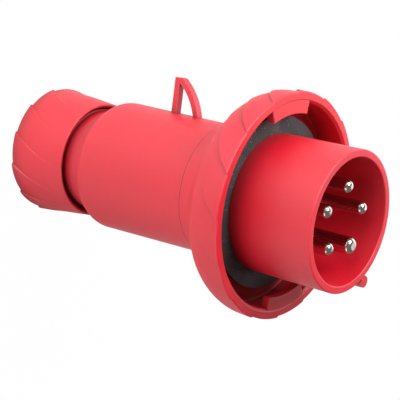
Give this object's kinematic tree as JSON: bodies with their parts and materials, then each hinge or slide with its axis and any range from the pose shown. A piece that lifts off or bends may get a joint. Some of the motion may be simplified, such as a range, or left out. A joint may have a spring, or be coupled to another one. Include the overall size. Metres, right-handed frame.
{
  "type": "industrial pin and sleeve plug",
  "caption": "Round industrial power plug: shrouded contacts, a turning bayonet ring with swirled grips, a barrel with a hanging loop and a screwed cable gland.",
  "frame": {"origin": "centre of the cable hole in the gland nut's flat rear face, on which the plug stands", "axes": "+Z along the plug's axis towards the contacts, +Y towards the hanging loop"},
  "size_m": [0.104, 0.104, 0.181],
  "materials": {
    "red_shell": "satin moulded plastic with a fine spark-eroded grain",
    "gasket_rubber": "matt black rubber",
    "seal_rubber": "matt black rubber",
    "nickel": "bright nickel-plated brass",
    "zinc_steel": "zinc-plated steel",
    "carrier_plastic": "dark grey moulded plastic",
    "cage_plastic": "black moulded plastic",
    "slip_plastic": "natural slippery plastic"
  },
  "bodies": {
    "gland_nut": {"gland_nut": "red_shell"},
    "slip_ring": {"slip_ring": "slip_plastic"},
    "plug_body": {"clamping_cage": "cage_plastic", "cable_seal": "seal_rubber", "housing": "red_shell", "joint_seal": "seal_rubber", "shroud": "red_shell", "flange_gasket": "gasket_rubber", "contact_carrier": "carrier_plastic", "carrier_screw": "zinc_steel", "contact_l1": "nickel", "contact_l2": "nickel", "contact_l3": "nickel", "contact_neutral": "nickel", "contact_earth": "nickel", "pin_seals": "seal_rubber", "terminal_screws": "zinc_steel", "earth_screws": "zinc_steel", "clamp_leaves": "zinc_steel"},
    "locking_ring": {"bayonet_ring": "red_shell"}
  },
  "joints": [
    {"name": "nut_turn", "type": "hinge", "parent": "gland_nut", "child": "slip_ring", "pos_m": [0, 0, 0.0065], "axis": [0, 0, 1], "range_deg": [0, 1440]},
    {"name": "nut_travel", "type": "slide", "parent": "slip_ring", "child": "plug_body", "axis": [0, 0, 1], "range_m": [0, 0.01201]},
    {"name": "ring_turn", "type": "hinge", "parent": "plug_body", "child": "locking_ring", "pos_m": [0, 0, 0.125], "axis": [0, 0, 1], "range_deg": [0, 60]}
  ],
  "couplings": [
    {"joint": "nut_travel", "follows": "nut_turn", "m_per_rad": 0.00047746}
  ]
}
